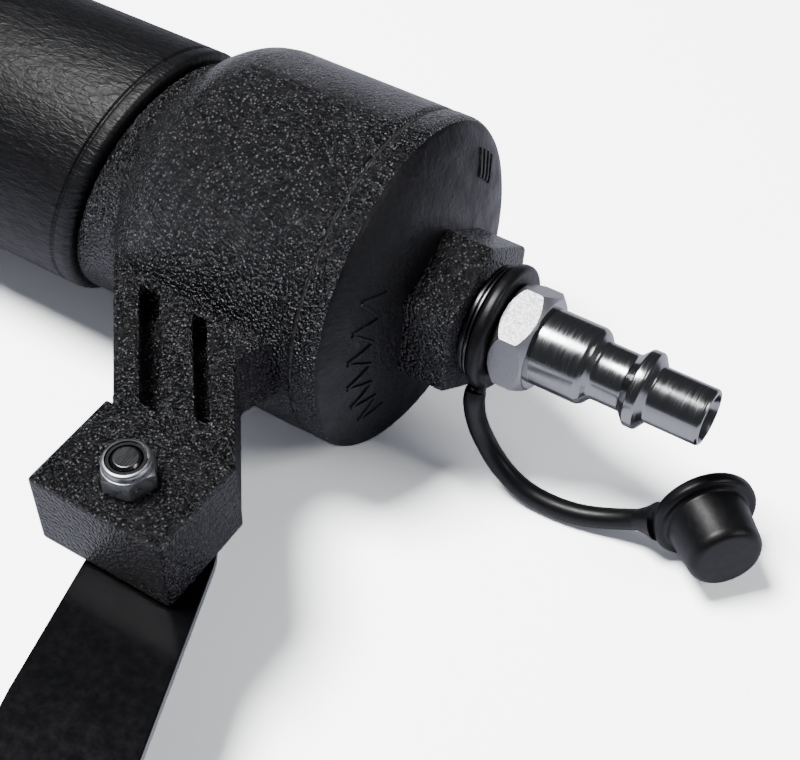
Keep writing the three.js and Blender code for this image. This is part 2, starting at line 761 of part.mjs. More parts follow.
addPart('rivet_set', turned([
  [110, 0],
  [110, SET.shank - 1],
  [111, SET.shank],
  [SET.collarStart, SET.shank],
  [SET.collarStart, 9.2],
  [SET.collarStart + 5, 9.2],
  [SET.collarStart + 8, 6.6],
  [SET.end - 9, 6.6],
  [SET.end - 1, 4.6],
  [SET.end, 4.2],
  [SET.end, 3.2],
  [SET.end - 0.9, 2.2],
  [SET.end - 1.2, 0],
], MIDDLE), brightSteel, headGroup);

const springRadius = (along) => 16.2 - 13.2 * Math.max(0, along - 0.5);
addPart('retaining_spring', coil(springRadius, BARREL.end - 14, BARREL.end + 16, 7, 2.2, 12), darkSteel, headGroup);

// ---------------------------------------------------------------- origin: middle of the base, tether left out

part.updateMatrixWorld(true);
const extent = new THREE.Box3();
for (const mesh of part.getObjectsByProperty('isMesh', true)) {
  if (mesh.name !== 'dust_strap' && mesh.name !== 'dust_cap') extent.expandByObject(mesh, true);
}
const centre = extent.getCenter(new THREE.Vector3());
part.position.set(-centre.x, -centre.y, -extent.min.z);

export default part;
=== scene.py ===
"""Pneumatic rivet gun lying on its side: its shapes, finishes, floor, light and camera."""
import math

import bmesh
import bpy
from mathutils import Matrix, Vector


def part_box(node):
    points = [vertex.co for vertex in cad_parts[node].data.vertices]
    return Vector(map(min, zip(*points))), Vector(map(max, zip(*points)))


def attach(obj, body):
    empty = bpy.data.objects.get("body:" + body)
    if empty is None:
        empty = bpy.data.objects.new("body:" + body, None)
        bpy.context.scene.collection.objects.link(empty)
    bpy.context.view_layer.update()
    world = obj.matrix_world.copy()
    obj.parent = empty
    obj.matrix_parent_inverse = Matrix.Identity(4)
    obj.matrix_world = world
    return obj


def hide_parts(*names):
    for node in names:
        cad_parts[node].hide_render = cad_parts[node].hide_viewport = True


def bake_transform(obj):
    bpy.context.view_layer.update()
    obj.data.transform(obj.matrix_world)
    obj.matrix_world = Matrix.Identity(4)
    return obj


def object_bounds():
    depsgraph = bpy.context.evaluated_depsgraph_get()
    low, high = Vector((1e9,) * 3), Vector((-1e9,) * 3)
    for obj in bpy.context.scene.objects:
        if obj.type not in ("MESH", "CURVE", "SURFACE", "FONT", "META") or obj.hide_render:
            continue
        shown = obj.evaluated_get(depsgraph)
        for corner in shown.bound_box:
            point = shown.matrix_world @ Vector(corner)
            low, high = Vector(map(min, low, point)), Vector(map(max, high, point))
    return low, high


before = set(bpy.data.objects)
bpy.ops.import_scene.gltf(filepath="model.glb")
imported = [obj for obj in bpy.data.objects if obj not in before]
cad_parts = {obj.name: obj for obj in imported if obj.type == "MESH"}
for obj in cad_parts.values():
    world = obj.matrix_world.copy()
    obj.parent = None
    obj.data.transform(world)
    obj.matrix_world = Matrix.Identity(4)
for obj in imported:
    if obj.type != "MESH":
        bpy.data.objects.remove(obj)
cad_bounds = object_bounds()

MM = 0.001
ROUND = 128   # steps of a large turned piece
SMALL = 72    # steps of a small turned piece

# ------------------------------------------------------------------ places, from the frame

CAP_LOW, CAP_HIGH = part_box("end_cap")
HEX_END = 15.1    # mm from the cap's rim plane back to the end of its hexagonal boss
GRIP = Vector((CAP_LOW.x + HEX_END * MM, (CAP_LOW.y + CAP_HIGH.y) / 2, (CAP_LOW.z + CAP_HIGH.z) / 2))
HEX_TURN = math.radians(-23)   # how far the cap's boss and the plug's hexagon are turned
CAP_RADIUS = 31
BOLT_X, BOLT_Y = 8.8, 65       # where the swing bar's bolt goes through the block

X_AXIS = Vector((1, 0, 0))
Z_AXIS = Vector((0, 0, 1))


def at(x, y, z):
    """A place in millimetres: X along the grip from the cap's rim plane, Y towards the arm, Z up."""
    return GRIP + Vector((x, y, z)) * MM


# ------------------------------------------------------------------ mesh helpers

def finish_piece(name, bm, body, material, smooth=40):
    """Turns a bmesh in metres into a shaded piece. It rides on a body, if one is given."""
    bmesh.ops.recalc_face_normals(bm, faces=bm.faces)
    mesh = bpy.data.meshes.new(name)
    bm.to_mesh(mesh)
    bm.free()
    piece = bpy.data.objects.new(name, mesh)
    bpy.context.scene.collection.objects.link(piece)
    mesh.materials.append(material)
    shade_by_angle(mesh, smooth)
    if body:
        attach(piece, body)
    return piece


def shade_by_angle(mesh, degrees):
    for polygon in mesh.polygons:
        polygon.use_smooth = True
    mesh.set_sharp_from_angle(angle=math.radians(degrees))


def rounded(profile, steps=4):
    """A profile's corners, each (along, radius) or (along, radius, fillet), with the fillets curved."""
    points = []
    count = len(profile)
    for i, corner in enumerate(profile):
        here = Vector(corner[:2])
        if len(corner) == 2 or i in (0, count - 1):
            points.append(here)
            continue
        before = Vector(profile[i - 1][:2]) - here
        after = Vector(profile[i + 1][:2]) - here
        reach = min(corner[2], before.length * 0.49, after.length * 0.49)
        start = here + before.normalized() * reach
        end = here + after.normalized() * reach
        for k in range(steps + 1):
            t = k / steps
            points.append(start * (1 - t) ** 2 + here * 2 * t * (1 - t) + end * t * t)
    return points


def turned(profile, steps=SMALL, closed=False):
    """A bmesh of revolution about X, from a profile in millimetres."""
    bm = bmesh.new()
    points = rounded(profile)
    verts = [bm.verts.new((p.x, p.y, 0)) for p in points]
    edges = [bm.edges.new(pair) for pair in zip(verts, verts[1:])]
    if closed:
        edges.append(bm.edges.new((verts[-1], verts[0])))
    bmesh.ops.spin(bm, geom=verts + edges, cent=(0, 0, 0), axis=(1, 0, 0),
                   angle=2 * math.pi, steps=steps, use_merge=True)
    bmesh.ops.remove_doubles(bm, verts=bm.verts, dist=1e-4)
    bmesh.ops.recalc_face_normals(bm, faces=bm.faces)
    return bm


def place(bm, origin, axis=X_AXIS):
    """Millimetres about X become metres about an axis through an origin."""
    turn = X_AXIS.rotation_difference(axis).to_matrix().to_4x4()
    bmesh.ops.transform(bm, matrix=Matrix.Translation(origin) @ turn @ Matrix.Scale(MM, 4), verts=bm.verts)
    return bm


def plate(points, low, high, bevel=0, segments=3):
    """A flat outline in X and Y, raised from low to high, in millimetres."""
    bm = bmesh.new()
    face = bm.faces.new([bm.verts.new((x, y, low)) for x, y in points])
    raised = bmesh.ops.extrude_face_region(bm, geom=[face])["geom"]
    moved = [v for v in raised if isinstance(v, bmesh.types.BMVert)]
    bmesh.ops.translate(bm, vec=(0, 0, high - low), verts=moved)
    bmesh.ops.recalc_face_normals(bm, faces=bm.faces)
    if bevel:
        bmesh.ops.bevel(bm, geom=bm.edges[:], offset=bevel, segments=segments, profile=0.5,
                        affect="EDGES", material=-1, clamp_overlap=True)
    return bm


def hex_bar(flats, start, end, turn):
    """A hexagonal bar along X, so wide across its flats and turned about X by an angle in radians."""
    corner = flats / math.sqrt(3)
    bm = bmesh.new()
    ring = [(corner * math.cos(turn + k * math.pi / 3), corner * math.sin(turn + k * math.pi / 3))
            for k in range(6)]
    face = bm.faces.new([bm.verts.new((start, y, z)) for y, z in ring])
    raised = bmesh.ops.extrude_face_region(bm, geom=[face])["geom"]
    moved = [v for v in raised if isinstance(v, bmesh.types.BMVert)]
    bmesh.ops.translate(bm, vec=(end - start, 0, 0), verts=moved)
    bmesh.ops.recalc_face_normals(bm, faces=bm.faces)
    return bm


def object_from(bm, name="tool"):
    mesh = bpy.data.meshes.new(name)
    bm.to_mesh(mesh)
    bm.free()
    made = bpy.data.objects.new(name, mesh)
    bpy.context.scene.collection.objects.link(made)
    return made


def boolean(bm, other, operation):
    """One bmesh joined to, cut by or crossed with another."""
    main, tool = object_from(bm), object_from(other)
    modifier = main.modifiers.new("boolean", "BOOLEAN")
    modifier.object = tool
    modifier.operation = operation
    modifier.solver = "EXACT"
    result = applied(main)
    bpy.data.objects.remove(tool)
    return result


def applied(made):
    """The object's mesh with its modifiers applied, as a bmesh. The object is removed."""
    graph = bpy.context.evaluated_depsgraph_get()
    evaluated = made.evaluated_get(graph)
    mesh = bpy.data.meshes.new_from_object(evaluated)
    bm = bmesh.new()
    bm.from_mesh(mesh)
    bpy.data.meshes.remove(mesh)
    bpy.data.objects.remove(made)
    return bm


def cast_skin(bm, voxel, passes):
    """Melts overlapping solids into one skin with soft cast corners."""
    made = object_from(bm)
    remesh = made.modifiers.new("melt", "REMESH")
    remesh.mode = "VOXEL"
    remesh.voxel_size = voxel
    remesh.adaptivity = 0
    smooth = made.modifiers.new("soften", "SMOOTH")
    smooth.factor = 0.5
    smooth.iterations = passes
    return applied(made)


# ------------------------------------------------------------------ materials

COAT_BLACK = (0.004, 0.004, 0.005)
# Darkest coat black: the base between the painted glints, and the painted shade in the cap face's bump
# hollows.
COAT_HOLLOW = (0.003, 0.003, 0.004)
# Painted sheen: the cap face's coat drawn lighter on its bump's tops.
COAT_PAINTED_SHEEN = (0.007, 0.007, 0.009)
# Painted highlight: pale specks on some grain tops of the castings' coat, standing in for glints.
PAINTED_GLINT = (0.24, 0.24, 0.27)
# Painted edge highlight: the pale ring where the cap meets the housing.
RIM_PAINTED_HIGHLIGHT = (0.3, 0.3, 0.31)
RUBBER_BLACK = (0.006, 0.006, 0.007)
FLOOR_BOUNCE = (0.72, 0.72, 0.84)
FLOOR_SEEN = (6.0, 6.1, 6.0)
RIM_AT = 4.3          # mm along the grip, where the cap meets the housing
RIM_HALF_WIDTH = 0.00035
RIM_REACH = CAP_RADIUS + 0.3   # mm from the grip's axis, past which the painted rim highlight stops


def new_material(name, color, roughness, metallic=0.0, specular=0.5):
    material = bpy.data.materials.new(name)
    material.use_nodes = True
    nodes = material.node_tree.nodes
    shader = nodes["Principled BSDF"]
    shader.inputs["Base Color"].default_value = (*color, 1)
    shader.inputs["Roughness"].default_value = roughness
    shader.inputs["Metallic"].default_value = metallic
    shader.inputs["Specular IOR Level"].default_value = specular
    return material, material.node_tree, shader


def coordinates(tree):
    return tree.nodes.new("ShaderNodeTexCoord").outputs["Object"]


def noise(tree, vector, scale, detail=4.0, roughness=0.55, distortion=0.0):
    node = tree.nodes.new("ShaderNodeTexNoise")
    node.inputs["Scale"].default_value = scale
    node.inputs["Detail"].default_value = detail
    node.inputs["Roughness"].default_value = roughness
    node.inputs["Distortion"].default_value = distortion
    tree.links.new(vector, node.inputs["Vector"])
    return node.outputs["Fac"]


def remap(tree, value, low, high, to_low, to_high):
    node = tree.nodes.new("ShaderNodeMapRange")
    node.inputs["From Min"].default_value = low
    node.inputs["From Max"].default_value = high
    node.inputs["To Min"].default_value = to_low
    node.inputs["To Max"].default_value = to_high
    tree.links.new(value, node.inputs["Value"])
    return node.outputs["Result"]


def mix_color(tree, factor, first, second):
    node = tree.nodes.new("ShaderNodeMix")
    node.data_type = "RGBA"
    tree.links.new(factor, node.inputs["Factor"])
    for name, value in (("A", first), ("B", second)):
        if isinstance(value, tuple):
            node.inputs[name].default_value = (*value, 1)
        else:
            tree.links.new(value, node.inputs[name])
    return node.outputs["Result"]


def maths(tree, operation, first, second):
    node = tree.nodes.new("ShaderNodeMath")
    node.operation = operation
    for socket, value in zip(node.inputs, (first, second)):
        if isinstance(value, (int, float)):
            socket.default_value = value
        else:
            tree.links.new(value, socket)
    return node.outputs["Value"]


def bump(tree, height, distance, strength=1.0):
    node = tree.nodes.new("ShaderNodeBump")
    node.inputs["Distance"].default_value = distance
    node.inputs["Strength"].default_value = strength
    tree.links.new(height, node.inputs["Height"])
    return node.outputs["Normal"]


def cells(tree, vector, scale, feature="SMOOTH_F1"):
    """Distance from the nearest of many scattered centres: the shape of a crowd of grains."""
    node = tree.nodes.new("ShaderNodeTexVoronoi")
    node.feature = feature
    node.inputs["Scale"].default_value = scale
    if feature == "SMOOTH_F1":
        node.inputs["Smoothness"].default_value = 0.35
    tree.links.new(vector, node.inputs["Vector"])
    return node.outputs["Distance"]


def rim_line(tree, vector):
    """1 on a thin ring round the grip's axis, where the cap meets the housing, and 0 elsewhere: the mask of a
    painted edge highlight.
    """
    centre = at(RIM_AT, 0, 0)
    split = tree.nodes.new("ShaderNodeSeparateXYZ")
    tree.links.new(vector, split.inputs["Vector"])
    away = maths(tree, "ABSOLUTE", maths(tree, "SUBTRACT", split.outputs["X"], centre.x), 0)
    thin = remap(tree, away, RIM_HALF_WIDTH * 0.6, RIM_HALF_WIDTH, 1, 0)
    across = maths(tree, "POWER", maths(tree, "SUBTRACT", split.outputs["Y"], centre.y), 2)
    upward = maths(tree, "POWER", maths(tree, "SUBTRACT", split.outputs["Z"], centre.z), 2)
    squared = maths(tree, "ADD", across, upward)
    return maths(tree, "MULTIPLY", thin, maths(tree, "LESS_THAN", squared, (RIM_REACH * MM) ** 2))


def grain_group():
    """Fine grain, which the rubbers and the metals share: its height, a roughness and a normal."""
    group = bpy.data.node_groups.new("fine_grain", "ShaderNodeTree")
    for name in ("Place", "Stretch"):
        group.interface.new_socket(name, in_out="INPUT", socket_type="NodeSocketVector")
    for name in ("Detail", "Breakup", "Depth", "Strength", "Low Roughness", "High Roughness"):
        group.interface.new_socket(name, in_out="INPUT", socket_type="NodeSocketFloat")
    for name, kind in (("Grain", "Float"), ("Roughness", "Float"), ("Normal", "Vector")):
        group.interface.new_socket(name, in_out="OUTPUT", socket_type="NodeSocket" + kind)
    given = group.nodes.new("NodeGroupInput").outputs
    result = group.nodes.new("NodeGroupOutput").inputs
    mapping = group.nodes.new("ShaderNodeMapping")
    group.links.new(given["Place"], mapping.inputs["Vector"])
    group.links.new(given["Stretch"], mapping.inputs["Scale"])
    grain = noise(group, mapping.outputs["Vector"], 700)
    rough = remap(group, grain, 0.3, 0.7, 0, 1)
    normal = bump(group, grain, 0)
    for name, socket in (("Detail", grain.node.inputs["Detail"]),
                         ("Breakup", grain.node.inputs["Roughness"]),
                         ("Low Roughness", rough.node.inputs["To Min"]),
                         ("High Roughness", rough.node.inputs["To Max"]),
                         ("Depth", normal.node.inputs["Distance"]),
                         ("Strength", normal.node.inputs["Strength"])):
        group.links.new(given[name], socket)
    for name, value in (("Grain", grain), ("Roughness", rough), ("Normal", normal)):
        group.links.new(value, result[name])
    return group


def fine_grain(tree, shader, **values):
    """Places the shared grain in a material with its own values, and gives the grain's height."""
    node = tree.nodes.new("ShaderNodeGroup")
    node.node_tree = FINE_GRAIN
    tree.links.new(coordinates(tree), node.inputs["Place"])
    for name, value in values.items():
        node.inputs[name.replace("_", " ").title()].default_value = value
    tree.links.new(node.outputs["Normal"], shader.inputs["Normal"])
    tree.links.new(node.outputs["Roughness"], shader.inputs["Roughness"])
    return node.outputs["Grain"]


def painted_glints(tree, vector, scale):
    """1 at the tops of some grains, picked at random, and 0 between them: where glints are painted in as pale
    base colour.
    """
    node = tree.nodes.new("ShaderNodeTexVoronoi")
    node.inputs["Scale"].default_value = scale
    tree.links.new(vector, node.inputs["Vector"])
    tops = remap(tree, node.outputs["Distance"], 0.18, 0.4, 1, 0)
    split = tree.nodes.new("ShaderNodeSeparateColor")
    tree.links.new(node.outputs["Color"], split.inputs["Color"])
    chosen = remap(tree, split.outputs["Red"], 0.2, 1.0, 0, 1)
    return maths(tree, "MULTIPLY", tops, chosen)


def wrinkle_coat():
    """Black wrinkle paint on a casting: crowded grains of half a millimetre that catch the light, and painted
    glints, pale specks in the base colour on some grain tops.
    """
    material, tree, shader = new_material("cast_black", COAT_BLACK, 0.18, specular=0.75)
    where = coordinates(tree)
    grains = cells(tree, where, 1700)
    fine = noise(tree, where, 3600, 2, 0.6)
    patches = noise(tree, where, 160, 3, 0.6)
    height = maths(tree, "ADD", maths(tree, "MULTIPLY", grains, -1.0), maths(tree, "MULTIPLY", fine, 0.6))
    tree.links.new(bump(tree, height, 0.0006, 1.0), shader.inputs["Normal"])
    rim = rim_line(tree, where)
    rough = remap(tree, patches, 0.35, 0.65, 0.14, 0.22)
    rough = maths(tree, "ADD", rough, maths(tree, "MULTIPLY", rim, 0.15))
    tree.links.new(rough, shader.inputs["Roughness"])
    tree.links.new(maths(tree, "MULTIPLY", rim, 0.5), shader.inputs["Metallic"])
    # Painted highlight: pale base-colour specks on some grain tops stand in for glints.
    coat = mix_color(tree, painted_glints(tree, where, 1900), COAT_HOLLOW, PAINTED_GLINT)
    # Painted edge highlight: the ring gets a pale base colour, with a real half-metallic, rougher response as
    # well.
    tree.links.new(mix_color(tree, rim, coat, RIM_PAINTED_HIGHLIGHT), shader.inputs["Base Color"])
    return material


def satin_coat():
    """The cap's face: the same black, laid on thinner and smoother, with painted sheen on its bump's tops and
    painted shade in its hollows.
    """
    material, tree, shader = new_material("cap_black", COAT_BLACK, 0.45, specular=0.45)
    where = coordinates(tree)
    grains = noise(tree, where, 900, 4, 0.6, 0.4)
    swirls = noise(tree, where, 220, 2, 0.5)
    height = maths(tree, "ADD", grains, swirls)
    tree.links.new(bump(tree, height, 0.00025, 0.8), shader.inputs["Normal"])
    tree.links.new(remap(tree, swirls, 0.35, 0.65, 0.52, 0.38), shader.inputs["Roughness"])
    # Painted sheen and shade: the colour follows the bump, lighter on its tops and darker in its hollows.
    tree.links.new(mix_color(tree, grains, COAT_HOLLOW, COAT_PAINTED_SHEEN), shader.inputs["Base Color"])
    return material


def leather_rubber():
    """Grip rubber with a pressed leather grain of short slanting creases."""
    material, tree, shader = new_material("grip_rubber", RUBBER_BLACK, 0.5, specular=0.45)
    grain = tree.nodes.new("ShaderNodeAttribute")
    grain.attribute_name = "grain"
    mapping = tree.nodes.new("ShaderNodeMapping")
    mapping.inputs["Rotation"].default_value = (0, 0, math.radians(38))
    mapping.inputs["Scale"].default_value = (0.36, 1, 1)
    tree.links.new(grain.outputs["Vector"], mapping.inputs["Vector"])
    creases = cells(tree, mapping.outputs["Vector"], 900, "DISTANCE_TO_EDGE")
    shallow = remap(tree, creases, 0.0, 0.12, 0.0, 1.0)
    waves = noise(tree, mapping.outputs["Vector"], 800, 3, 0.55, 0.6)
    height = maths(tree, "ADD", maths(tree, "MULTIPLY", shallow, 0.12), waves)
    tree.links.new(bump(tree, height, 0.00028, 0.9), shader.inputs["Normal"])
    tree.links.new(remap(tree, waves, 0.3, 0.7, 0.55, 0.4), shader.inputs["Roughness"])
    return material


def plain_rubber(name="rubber_black", roughness=0.4, specular=0.5, depth=0.00005):
    """Smooth rubber, and what shines like it: black oxide and nylon."""
    material, tree, shader = new_material(name, RUBBER_BLACK, roughness, specular=specular)
    fine_grain(tree, shader, stretch=(1, 1, 1), detail=3, breakup=0.55, depth=depth, strength=0.5,
               low_roughness=roughness + 0.06, high_roughness=roughness - 0.05)
    return material


def metal(name, color, roughness, stretch=(1, 1, 1), depth=0.00002, spread=0.08):
    """Machined metal. A larger stretch along X gives turned lines round that axis."""
    material, tree, shader = new_material(name, color, roughness, metallic=1.0)
    grain = fine_grain(tree, shader, stretch=stretch, detail=4, breakup=0.6, depth=depth, strength=0.6,
                       low_roughness=roughness + spread, high_roughness=roughness - spread)
    dark = tuple(c * 0.8 for c in color)
    tree.links.new(mix_color(tree, grain, dark, color), shader.inputs["Base Color"])
    return material


def floor_white():
    """A white sheet. It is drawn brighter to the eye than it is as a source of bounced light."""
    material, tree, shader = new_material("floor_white", (0.8, 0.8, 0.8), 0.8, specular=0.1)
    seen = tree.nodes.new("ShaderNodeLightPath").outputs["Is Camera Ray"]
    tree.links.new(mix_color(tree, seen, FLOOR_BOUNCE, FLOOR_SEEN), shader.inputs["Base Color"])
    return material


FINE_GRAIN = grain_group()
CAST = wrinkle_coat()
CAP_FACE = satin_coat()
GRIP_RUBBER = leather_rubber()
RUBBER = plain_rubber()
BLACK_OXIDE = plain_rubber("bar_black", 0.2, 0.12, 0.000005)
TURNED_STEEL = metal("turned_steel", (0.5, 0.51, 0.51), 0.2, (6, 0.3, 0.3))
GRAINED_STEEL = metal("grained_steel", (0.6, 0.6, 0.63), 0.45, (3, 3, 3), 0.0001, 0.1)
DARK_STEEL = metal("dark_steel", (0.16, 0.16, 0.17), 0.28, (6, 0.3, 0.3))
ZINC = metal("zinc_plate", (0.7, 0.72, 0.74), 0.34, (1, 1, 1), 0.00004, 0.1)
BRASS = metal("brass", (0.55, 0.4, 0.17), 0.3)
NYLON = plain_rubber("nylon", 0.4)
BARE_EDGE = metal("bare_edge", (0.5, 0.5, 0.5), 0.35)
FLOOR_WHITE = floor_white()

# ------------------------------------------------------------------ sleeve slant, shared with the casting

SLEEVE_START = 55.1
SLEEVE_END = 110
SLEEVE_RADIUS = 25.4
SLEEVE_BORE = 21.1
SLANT_Y, SLANT_Z = 0.058, -0.217   # mm along the grip for each mm of Y and of Z
NECK_START = 46.5
NECK_RADIUS = 23.8
CORE_RADIUS = 20.8    # the casting under the sleeve
HEAD_CUT = 69.7       # mm along the grip, under the sleeve, where the two casting pieces meet


def slant(bm):
    """Leans what lies round the sleeve's rear edge, before the piece is placed."""
    for vert in bm.verts:
        x, y, z = vert.co
        rise = min(max((x - NECK_START) / (SLEEVE_START - 1 - NECK_START), 0), 1)
        fall = min(max((SLEEVE_END - 2 - x) / (SLEEVE_END - 8 - SLEEVE_START), 0), 1)
        vert.co.x += rise * fall * (SLANT_Y * y + SLANT_Z * z)
    return bm


# ------------------------------------------------------------------ carried-over nodes

def refined(node, body, material, bevel=0.25, smooth=35):
    """A merged, softened copy of a CAD node that stands in for it."""
    bm = bmesh.new()
    bm.from_mesh(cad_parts[node].data)
    bmesh.ops.remove_doubles(bm, verts=bm.verts, dist=1e-6)
    bmesh.ops.dissolve_limit(bm, angle_limit=math.radians(1), verts=bm.verts, edges=bm.edges)
    piece = finish_piece(node + "_shown", bm, body, material, smooth)
    if bevel:
        modifier = piece.modifiers.new("edges", "BEVEL")
        modifier.width = bevel * MM
        modifier.segments = 2
        modifier.limit_method = "ANGLE"
        modifier.angle_limit = math.radians(40)
        modifier.harden_normals = True
    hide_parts(node)
    return piece


# ------------------------------------------------------------------ end cap

CAP_DOME = [(-6.2, 0), (-6.2, 13), (-5.5, 18, 2), (-4.3, 23, 2), (-2.6, 27.5, 2), (-0.9, 30.2, 1)]
SPIGOT_RADIUS = 26.4


def dome_height(radius):
    """Where the cap's face is along X, at a distance from the axis."""
    profile = [(corner[1], corner[0]) for corner in CAP_DOME]
    for (r0, x0), (r1, x1) in zip(profile, profile[1:]):
        if radius <= r1:
            return x0 + (x1 - x0) * (radius - r0) / (r1 - r0)
    return profile[-1][1]


def raised_stroke(bm, start, end, half_width, rise=0.3):
    """A low bar on the cap's face between two places, each an angle in degrees and a radius."""
    flat = [Vector((r * math.cos(math.radians(a)), r * math.sin(math.radians(a)))) for a, r in (start, end)]
    side = (flat[1] - flat[0]).normalized().orthogonal() * half_width
    steps = 5
    rings = []
    for k in range(steps + 1):
        middle = flat[0].lerp(flat[1], k / steps)
        ring = []
        for reach, lift in ((-1.35, -0.5), (-0.7, rise), (0.7, rise), (1.35, -0.5)):
            place_here = middle + side * reach
            ring.append(bm.verts.new((dome_height(place_here.length) - lift, *place_here)))
        rings.append(ring)
    for first, second in zip(rings, rings[1:]):
        for i in range(4):
            bm.faces.new((first[i], first[(i + 1) % 4], second[(i + 1) % 4], second[i]))
    bm.faces.new(rings[0])
    bm.faces.new(reversed(rings[-1]))


def cap_marks():
    """Plain decoration on the cap's face: a zigzag along one side and four short ticks on the other."""
    bm = bmesh.new()
    near, far = 20.6, 25.4
    for i in range(12):
        low = -34 + i * 6.4
        first, last = (far, near) if i % 2 else (near, far)
        raised_stroke(bm, (low, first), (low + 5.6, last), 0.4)
    for i in range(4):
        raised_stroke(bm, (132 + i * 4.2, 22), (132 + i * 4.2, 26.8), 0.5)
    bmesh.ops.recalc_face_normals(bm, faces=bm.faces)
    finish_piece("cap_marks", place(bm, GRIP), "body", CAP_FACE, 50)


def end_cap():
    """The domed cap with its hexagonal boss: a smooth face, and the castings' coat on rim and boss."""
    dome = turned(CAP_DOME + [
        (0, 30.8, 0.4), (0.6, CAP_RADIUS, 0.3), (3.7, CAP_RADIUS, 0.4), (4.1, 30.6),
        (4.1, SPIGOT_RADIUS), (14, SPIGOT_RADIUS), (14, 0),
    ], ROUND)
    boss = hex_bar(26, -HEX_END, -3, HEX_TURN)
    bmesh.ops.bevel(boss, geom=boss.edges[:], offset=0.7, segments=3, profile=0.5,
                    affect="EDGES", material=-1)
    solid = boolean(dome, boss, "UNION")
    bore = turned([(-20, 0), (-20, 7.2), (5, 7.2), (5, 0)], SMALL)
    solid = boolean(solid, bore, "DIFFERENCE")
    middles = [face.calc_center_median().x for face in solid.faces]
    coated = [middle > -0.5 or middle < -6.3 for middle in middles]
    piece = finish_piece("end_cap_shown", place(solid, GRIP), "body", CAP_FACE, 30)
    piece.data.materials.append(CAST)
    for polygon, rough in zip(piece.data.polygons, coated):
        polygon.material_index = int(rough)
    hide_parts("end_cap")


# ------------------------------------------------------------------ grip casting: housing, neck, arm and block

BLOCK_X = (-3, 22.3)
BLOCK_Y = (54.3, 73)
BLOCK_TOP = 8.9
BLOCK_BOTTOM = -6.1
ARM_LEAN = math.radians(37.5)
ARM_WIDTH = 20.2
POCKET_FLOOR = 1.4
GROOVE_WIDTH = 1
GROOVE_FLOOR = 7.2
CLEAR = 6             # how far a cutting shape runs past what it cuts
GRIP_VOXEL = 0.00045
HEAD_VOXEL = 0.0009


def arm_point(across, outward):
    """A place on the leaning arm: so far across it from its front edge, and so far out from the grip."""
    along = BLOCK_X[1] - across / math.cos(ARM_LEAN) + (BLOCK_Y[0] - outward) * math.tan(ARM_LEAN)
    return (along, outward)


def pocket(near, far, inner, outer, drift):
    """The cutting shape of one long pocket in the arm."""
    return plate([arm_point(near, inner), arm_point(near + drift, outer), arm_point(far + drift, outer),
                  arm_point(far, inner)], POCKET_FLOOR, POCKET_FLOOR + 12.6)


def grip_casting():
    """The casting behind the sleeve: housing, neck, pocketed arm and block."""
    housing = slant(turned([
        (4.4, 0), (4.4, 30.4), (5, CAP_RADIUS, 0.3), (35, CAP_RADIUS), (38.5, 30.4, 1.5), (42.5, 28.2, 2),
        (44.8, 25.6, 1.5), (NECK_START, NECK_RADIUS, 1), (54.2, NECK_RADIUS), (54.8, 23.2),
        (54.8, CORE_RADIUS), (70, CORE_RADIUS), (70, 0),
    ], ROUND))
    arm = plate([
        arm_point(0.2, 54.8), arm_point(ARM_WIDTH - 0.4, 54.8), arm_point(ARM_WIDTH, 36.5),
        (9.2, 32.5), (6.5, 27), (10, 14), (46, 14), arm_point(0, 28), arm_point(0.9, 52.7),
    ], -5.4, 8.4)
    block = plate([(BLOCK_X[0], BLOCK_Y[0]), (BLOCK_X[1], BLOCK_Y[0]), (BLOCK_X[1], BLOCK_Y[1]),
                   (BLOCK_X[0], BLOCK_Y[1])], BLOCK_BOTTOM, BLOCK_TOP)
    arm = boolean(arm, pocket(4.6, 7.8, 31, 51.6, 0.5), "DIFFERENCE")
    arm = boolean(arm, pocket(13.4, 15.6, 31.5, 49.6, 0.4), "DIFFERENCE")
    groove_low = BLOCK_Y[0] - GROOVE_WIDTH
    groove = plate([(BLOCK_X[0] - CLEAR, groove_low), (BLOCK_X[1] + CLEAR, groove_low),
                    (BLOCK_X[1] + CLEAR, BLOCK_Y[0]), (BLOCK_X[0] - CLEAR, BLOCK_Y[0])],
                   GROOVE_FLOOR, 12)
    arm = boolean(arm, groove, "DIFFERENCE")
    solid = boolean(housing, arm, "UNION")
    solid = boolean(solid, block, "UNION")
    skin = cast_skin(place(solid, GRIP), GRIP_VOXEL, 3)
    piece = finish_piece("grip_casting", skin, "body", CAST, 60)
    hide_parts("handle_casting")


def head_casting():
    """The casting in front of the sleeve: core, head, trigger ears and regulator boss."""
    bm = bmesh.new()
    bm.from_mesh(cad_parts["handle_casting"].data)
    bmesh.ops.remove_doubles(bm, verts=bm.verts, dist=1e-6)
    cut_at = at(HEAD_CUT, 0, 0)
    bmesh.ops.bisect_plane(bm, geom=bm.verts[:] + bm.edges[:] + bm.faces[:], plane_co=cut_at,
                           plane_no=(1, 0, 0), clear_inner=True)
    bmesh.ops.holes_fill(bm, edges=[e for e in bm.edges if e.is_boundary], sides=0)
    skin = cast_skin(bm, HEAD_VOXEL, 2)
    piece = finish_piece("head_casting", skin, "body", CAST, 60)
    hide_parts("handle_casting")


# ------------------------------------------------------------------ sleeve

